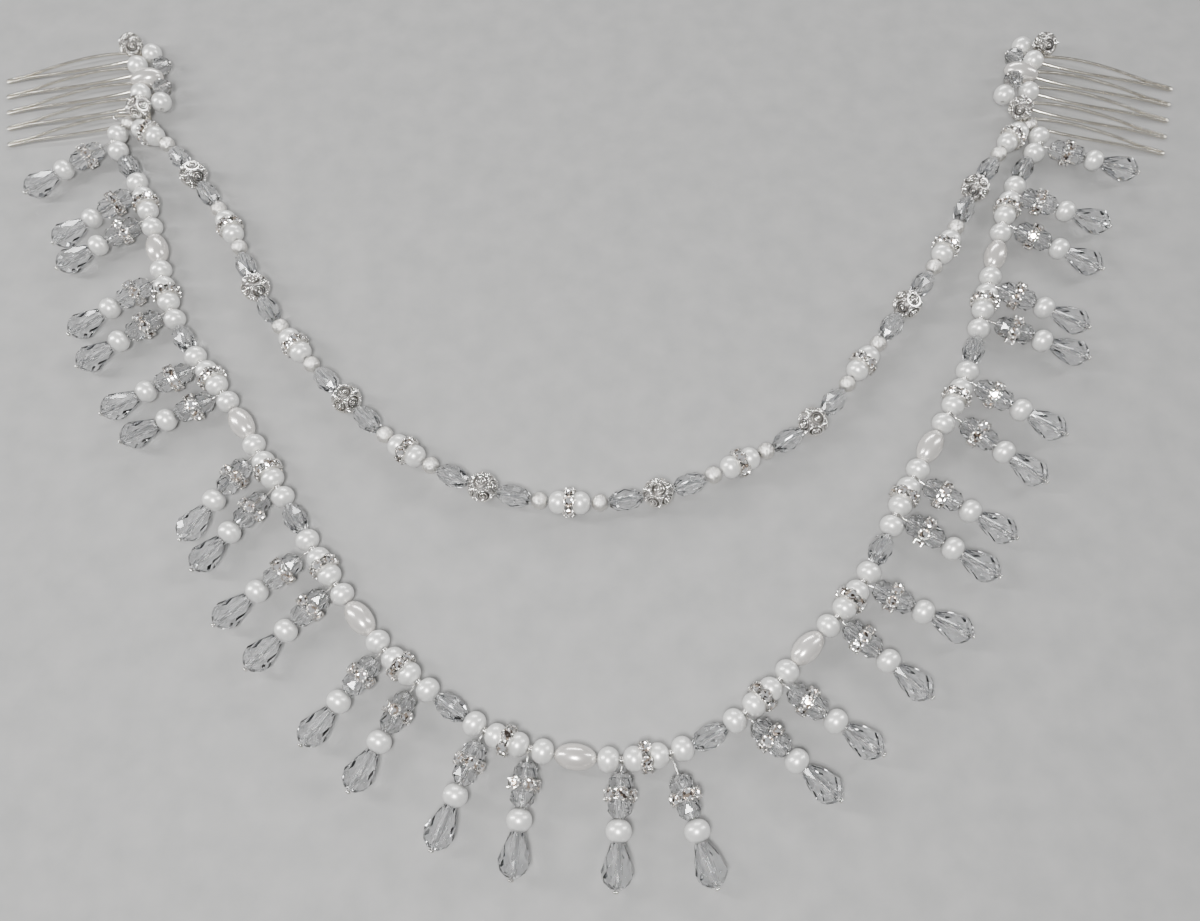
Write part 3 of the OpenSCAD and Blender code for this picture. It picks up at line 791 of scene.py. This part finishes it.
# Clusters. On each spine stand two filigree balls, pearls, a rice pearl laid across, and round crystals, all
# bound down by fine wire. The crystals and one pearl of each stand between the frame's beads.
EXTRA = {
    # the crystals' middles, then the pearl's: inwards from the spine, along it from its middle, and up
    "comb_left": ([(6.24, 4.54, 3.4), (6.41, -6.45, 5.23)], (-0.24, -6.92, 5.21)),
    "comb_right": ([(5.93, 8.92, 3.8), (5.39, -3.36, 6.7)], (-0.1, -4.74, 4.9)),
}
cluster_pearl_r = 3
binding_d, lap_turns, lap_steps = 0.42, 2.5, 12
lap_r = (spine_d + binding_d) / 2
knob_out, knob_l = 0.25, 0.3
tail_out, tail_along, tail_wide, tail_up, tail_rise, tail_steps = 9.8, -12.2, 1.5, 1.9, 1.1, 24
cluster_pearl = turned_bead(
    "cluster_pearl_model", cluster_pearl_r, cluster_pearl_r, points=40, steps=32
)
shrink = Matrix.Scale(small_ball_d / ball_d, 4)
pearl_places, crystal_places, small_places, across_places, knob_places = [], [], [], [], []
binding = []
for node, (crystals, lone_pearl) in EXTRA.items():
    place = comb_places[node]
    along = place[2]
    for spot in (*crystals, lone_pearl):
        # the wire comes down from the bead and winds round the spine
        is_pearl = spot is lone_pearl
        spot = Vector(spot)
        foot = Vector((0, spot.y, spine_d + binding_d / 2))
        way = (spot - foot).normalized()
        lap = []
        for j in range(int(lap_steps * lap_turns) + 1):
            angle = math.pi / 2 - 2 * math.pi * j / lap_steps
            up = max(binding_d / 2, spine_d / 2 + lap_r * math.sin(angle))
            lap.append(Vector((lap_r * math.cos(angle), spot.y + binding_d * j / lap_steps, up)))
        end = spot if is_pearl else spot + (round_size[0] / 2 + knob_out) * way
        binding.append((comb_points(place, [end, *lap]), False))
        low, middle, high = (p / MM for p in comb_points(place, [foot, spot, end]))
        way = (middle - low).normalized()
        if is_pearl:
            pearl_places.append(set_down(middle - along, middle + along))
        else:
            crystal_places.append(set_down(middle - way, middle + way, spot.x))
            knob_places.append(set_down(high, high + knob_l * way))
    cluster = solids[node.replace("comb", "cluster")]
    centres = [(a + b) / 2 for a, b, _ in cluster]
    for a, b, width in cluster:
        middle = (a + b) / 2
        if (b - a).length > rice_size[0] - 1:
            across_places.append(set_down(a, b))
        elif width > small_ball_d - 0.6:
            near = sorted(centres, key=lambda c: (c - middle).length)[1]
            way = (near - middle).normalized()
            small_places.append(set_down(middle - way, middle + way, middle.x) @ shrink)
        else:
            pearl_places.append(set_down(middle - along, middle + along))
# the end of the left cluster's wire stands out in a small loop
tail = []
for t in (math.pi * j / tail_steps for j in range(tail_steps + 1)):
    tail.append(
        Vector((
            -tail_out * math.sin(t),
            tail_along + tail_wide * math.sin(2 * t),
            tail_up + tail_rise * math.sin(t),
        ))
    )
binding.append((comb_points(comb_places["comb_left"], tail), False))
laps = wires("binding", binding, binding_d * MM, 2)
knobs = set_out("knobs", grain, knob_places)
deliver(join([laps, knobs], "cluster_bindings"), silver, cluster_nodes)
# the smaller balls get their dark inner balls too, painted shade for their hollows
deliver(set_out("cluster_ball_painted_shade", shade_ball, small_places), dark, cluster_nodes)
deliver(set_out("cluster_pearls", cluster_pearl, pearl_places), nacre, cluster_nodes)
deliver(set_out("cluster_rice_pearls", rice, across_places), satin, cluster_nodes)
deliver(set_out("cluster_crystals", round_crystal, crystal_places), clear, cluster_nodes)
deliver(set_out("cluster_balls", filigree, small_places), silver, cluster_nodes)

# The end. The models that were copied have done their work and go.
beads_and_balls = [pearl, rice, oval, round_crystal, tear, filigree, shade_ball, stardust, cluster_pearl]
fittings = [rondelle, rhinestones, cup, stone, grain, head]
for model in beads_and_balls + fittings:
    bpy.data.objects.remove(model)
